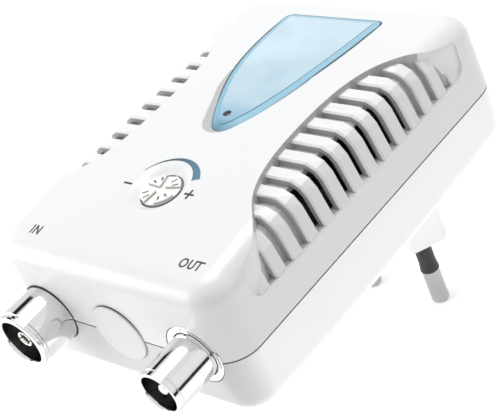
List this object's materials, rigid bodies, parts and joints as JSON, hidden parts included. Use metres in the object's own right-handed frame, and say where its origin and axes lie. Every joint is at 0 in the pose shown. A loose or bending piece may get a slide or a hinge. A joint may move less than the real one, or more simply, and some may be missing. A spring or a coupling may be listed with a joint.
{
  "type": "television aerial signal amplifier",
  "caption": "Plug-in mains aerial amplifier: ribbed white case with coaxial input and output sockets, a gain dial, a blue indicator lens and a flat two-pin plug beneath.",
  "frame": {"origin": "middle of the plug face that rests against the wall socket, between the two pins", "axes": "+Z from the plug face up to the ribbed cover, -Y to the front with the coaxial sockets, +X to the output side; the pins point along -Z"},
  "size_m": [0.06, 0.0965, 0.0692],
  "materials": {
    "housing": "white moulded ABS with a light satin gloss",
    "lens": "pale blue polished acrylic",
    "lamp": "tinted epoxy",
    "rotor": "white moulded nylon",
    "black_moulding": "black moulded plastic",
    "socket_plating": "bright nickel plate",
    "socket_insulator": "natural white polymer",
    "contact_plating": "bright tin plate",
    "blank": "white moulded ABS",
    "pin_plating": "nickel plated brass",
    "copper_alloy": "bare stamped brass",
    "board": "green solder mask on laminate",
    "tinplate": "tinned sheet steel",
    "core_iron": "varnished laminations",
    "bobbin": "yellow tape over the winding",
    "capacitor_sleeve": "dark shrink sleeve",
    "fuse_glass": "glass body with plated caps",
    "ferrite": "sintered ferrite",
    "screw_zinc": "zinc plated steel"
  },
  "bodies": {
    "body": {"top_cover": "housing", "base_housing": "housing", "indicator_lens": "lens", "power_led": "lamp", "gain_pot": "black_moulding", "input_shell": "socket_plating", "input_insulator": "socket_insulator", "input_contact": "contact_plating", "output_shell": "socket_plating", "output_insulator": "socket_insulator", "output_pin": "contact_plating", "blank_cap": "blank", "plug_insert": "housing", "left_pin": "pin_plating", "right_pin": "pin_plating", "left_sleeve": "black_moulding", "right_sleeve": "black_moulding", "left_strap": "copper_alloy", "right_strap": "copper_alloy", "circuit_board": "board", "shield_can": "tinplate", "transformer_core": "core_iron", "transformer_bobbin": "bobbin", "reservoir_capacitor": "capacitor_sleeve", "rectifier_diodes": "black_moulding", "voltage_regulator": "black_moulding", "mains_fuse": "fuse_glass", "amplifier_chip": "black_moulding", "balun_core": "ferrite", "housing_screws": "screw_zinc", "board_screws": "screw_zinc"},
    "gain_dial": {"gain_rotor": "rotor"}
  },
  "joints": [
    {"name": "gain_turn", "type": "hinge", "parent": "body", "child": "gain_dial", "pos_m": [0, -0.0481, 0.04825], "axis": [0, 0, 1], "range_deg": [-135, 135]}
  ]
}
